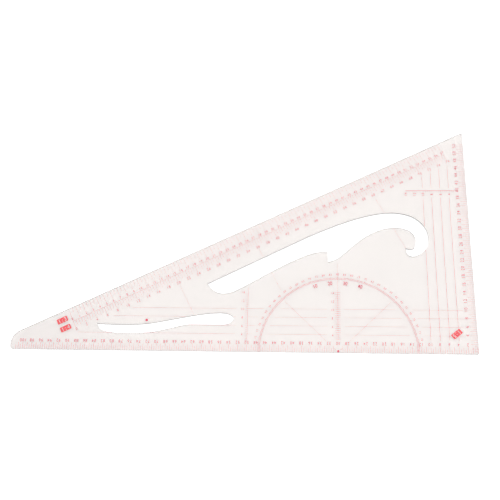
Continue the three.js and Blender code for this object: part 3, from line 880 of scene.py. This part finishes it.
def label_loops(text, centre, turn_degrees, height, digits, digit_step=DIGIT_STEP):
    """The loops of a centred label, one list for each character."""
    spin = Matrix.Rotation(math.radians(turn_degrees), 2)
    steps = [COLON_SHARE if c == ":" else 1.0 for c in text]
    places = [sum(steps[:i]) + step / 2 - sum(steps) / 2 for i, step in enumerate(steps)]
    characters = []
    for c, at in zip(text, places):
        aside = Vector((at * digit_step, 0))
        characters.append(
            [[centre + spin @ ((p + aside) * height) for p in loop] for loop in digits[c]]
        )
    return characters


def add_label(slabs, text, centre, turn_degrees, height, digits=PLAIN, digit_step=DIGIT_STEP):
    for loops in label_loops(str(text), Vector(centre), turn_degrees, height, digits, digit_step):
        slabs.add(loops, INK_LOW, INK_HIGH)


widest = (1 + DIGIT_STEP) * DIGIT_NARROWING
print("width of a two-digit label:", round(widest, 2), "heights at most")

# %% [markdown]
# ## Numerals along the edges
# The base scale is read with the sheet turned round, so its numerals stand on their heads. Those of
# the upright scale lie on their side, and those of the two sloping scales follow the slope. Base
# and upright count in units of two millimetres, a fifth of a centimetre, which is why their
# numerals reach 100 on a sheet of 206 mm. The place of a numeral comes from its number, and one
# loop over a table sets all four scales, each as one piece.

# %% Numerals along the edges
FIFTH_UNIT = 2
BASE_ROW, UPRIGHT_ROW = 4.03, 4.37  # from the edge to the middle of the numerals
THIRDS_ROW, QUARTERS_ROW = 5.4, 10.6
BASE_ASIDE, UPRIGHT_ABOVE = 0.55, 0.33  # from a number's place to the middle of its numeral


def on_base(number):
    return (-FIFTH_UNIT * number - BASE_ASIDE, BASE_ROW)


def on_upright(number):
    return (-UPRIGHT_ROW, FIFTH_UNIT * number + UPRIGHT_ABOVE)


def on_thirds(number):
    return on_slope(SCALE_ZERO - number * THIRD_UNIT, THIRDS_ROW)


def on_quarters(number):
    return on_slope(SCALE_ZERO - number * QUARTER_UNIT, QUARTERS_ROW)


# scale, its numbers, the place of each, turn in degrees, height in millimetres, weight
EDGE_NUMERALS = [
    ("base", range(2, 101, 2), on_base, 180, 1.45, LIGHT),
    ("upright", range(4, 53, 2), on_upright, 90, 1.57, LIGHT),
    ("thirds", range(THIRD_UNITS + 1), on_thirds, slope_degrees, 1.2, PLAIN),
    ("quarters", range(0, QUARTER_UNITS + 1, 2), on_quarters, slope_degrees, 1.35, LIGHT),
]
for scale, numbers, place_of, turn_degrees, height, digits in EDGE_NUMERALS:
    numerals = Slabs(scale + "_scale_numerals")
    for number in numbers:
        add_label(numerals, number, place_of(number), turn_degrees, height, digits)
    numerals.piece("red_ink", red_ink)

# %% [markdown]
# ## Numerals of the protractor
# The protractor is numbered every five degrees and alike from both ends up to 90, so that an angle
# can be read from either side. Each numeral stands with its foot towards the centre. Four bolder
# numbers stand inside the band, closer set than the rest.

# %% Numerals of the protractor
NUMERAL_RADIUS, NUMERAL_HEIGHT = 36.85, 1.02
INNER_RADIUS, INNER_HEIGHT, INNER_STEP = 32.6, 1.7, 0.62
INNER_NUMERALS = {108: 10, 96: 20, 84: 30, 72: 40}  # the number at each angle


def round_protractor(degrees, radius):
    direction = Vector((math.cos(math.radians(degrees)), math.sin(math.radians(degrees))))
    return Vector((PROTRACTOR_X, 0)) + direction * radius


protractor_numerals = Slabs("protractor_numerals")
for degrees in range(10, 171, 5):
    centre = round_protractor(degrees, NUMERAL_RADIUS)
    number = min(degrees, 180 - degrees)
    add_label(protractor_numerals, number, centre, degrees - 90, NUMERAL_HEIGHT, LIGHT)
for degrees, number in INNER_NUMERALS.items():
    centre = round_protractor(degrees, INNER_RADIUS)
    add_label(protractor_numerals, number, centre, degrees - 90, INNER_HEIGHT, HEAVY, INNER_STEP)
protractor_numerals.piece("red_ink", red_ink)

# %% [markdown]
# Three short scales stand inside the sheet: the protractor's own axis, an upright one to the left
# of it and a level one near the top. Their ticks are CAD parts. All three are numbered alike, from
# 4 to 14 in steps of two units, so one loop sets the three numerals of each step.

# %% Numerals of the short scales
AXIS_NUMERALS_X, SHORT_UPRIGHT_X = -62.9, -102.9
AXIS_BELOW, SHORT_BELOW = 0.3, 0.25  # from a number's place down to the middle of its numeral
SHORT_LEVEL_Y, SHORT_LEVEL_UNIT = 78, 2.02
SHORT_HEIGHT, SHORT_LEVEL_HEIGHT = 1.15, 1.3

short_numerals = Slabs("short_scale_numerals")
for n in range(4, 15, 2):
    on_axis = (AXIS_NUMERALS_X, FIFTH_UNIT * n - AXIS_BELOW)
    on_short_upright = (SHORT_UPRIGHT_X, FIFTH_UNIT * n - SHORT_BELOW)
    on_short_level = (-SHORT_LEVEL_UNIT * n, SHORT_LEVEL_Y)
    add_label(short_numerals, n, on_axis, 0, SHORT_HEIGHT, LIGHT)
    add_label(short_numerals, n, on_short_upright, 0, SHORT_HEIGHT, LIGHT)
    add_label(short_numerals, n, on_short_level, 90, SHORT_LEVEL_HEIGHT)
short_numerals.piece("red_ink", red_ink)

# %% [markdown]
# ## Ratio tiles
# Beside the zero of each scale stands a solid red tile with the scale's ratio left bare in it. The
# CAD tile is whole. A boolean cut would open it, but such cuts are unsure on shapes this thin and
# flat. So a tile with the ratio cut out is built as a slab and replaces it: the numerals' outer
# loops are holes in the tile, and the insides of closed digits are small islands of ink. Two tiles
# lie along the slope. The third lies aslant in the right-angled corner, its ratio upside down.

# %% Ratio tiles
TILE_LENGTH, TILE_WIDTH, TILE_CORNER = 4.9, 2.5, 0.3
TILE_SHIFT = 1.85  # from the scale's zero to the tile
THIRDS_TILE_INWARD, QUARTERS_TILE_INWARD = 3.95, 8.15
RATIO_HEIGHT, RATIO_STEP = 1.85, 0.92
FIFTHS_PLACE, FIFTHS_TURN = Vector((-9, 9)), 40

tile_along = SCALE_ZERO + TILE_SHIFT + TILE_LENGTH / 2
thirds_place = on_slope(tile_along, THIRDS_TILE_INWARD)
quarters_place = on_slope(tile_along, QUARTERS_TILE_INWARD)
tiles = {  # ratio, place, turn of the tile, turn of its ratio
    "ratio_block_thirds": ("1:3", thirds_place, slope_degrees, slope_degrees),
    "ratio_block_quarters": ("1:4", quarters_place, slope_degrees, slope_degrees),
    "ratio_block_fifths": ("1:5", FIFTHS_PLACE, FIFTHS_TURN, FIFTHS_TURN + 180),
}
for node, (text, centre, tile_turn, text_turn) in tiles.items():
    spin = Matrix.Rotation(math.radians(tile_turn), 2)
    half = Vector((TILE_LENGTH / 2, TILE_WIDTH / 2))
    signs = [(1, -1), (1, 1), (-1, 1), (-1, -1)]
    corners = [centre + spin @ Vector((sx * half.x, sy * half.y)) for sx, sy in signs]
    outline = rounded_outline([(c.x, c.y, TILE_CORNER) for c in corners], steps=6)
    characters = label_loops(text, centre, text_turn, RATIO_HEIGHT, BOLD, RATIO_STEP)
    cut = [loop[::-1] for loops in characters for loop in loops]
    tile = Slabs(node.replace("block", "tile"))
    tile.add([turned(outline, True), *cut], INK_LOW, INK_HIGH)
    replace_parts(tile.piece("red_ink", solid_ink), node)
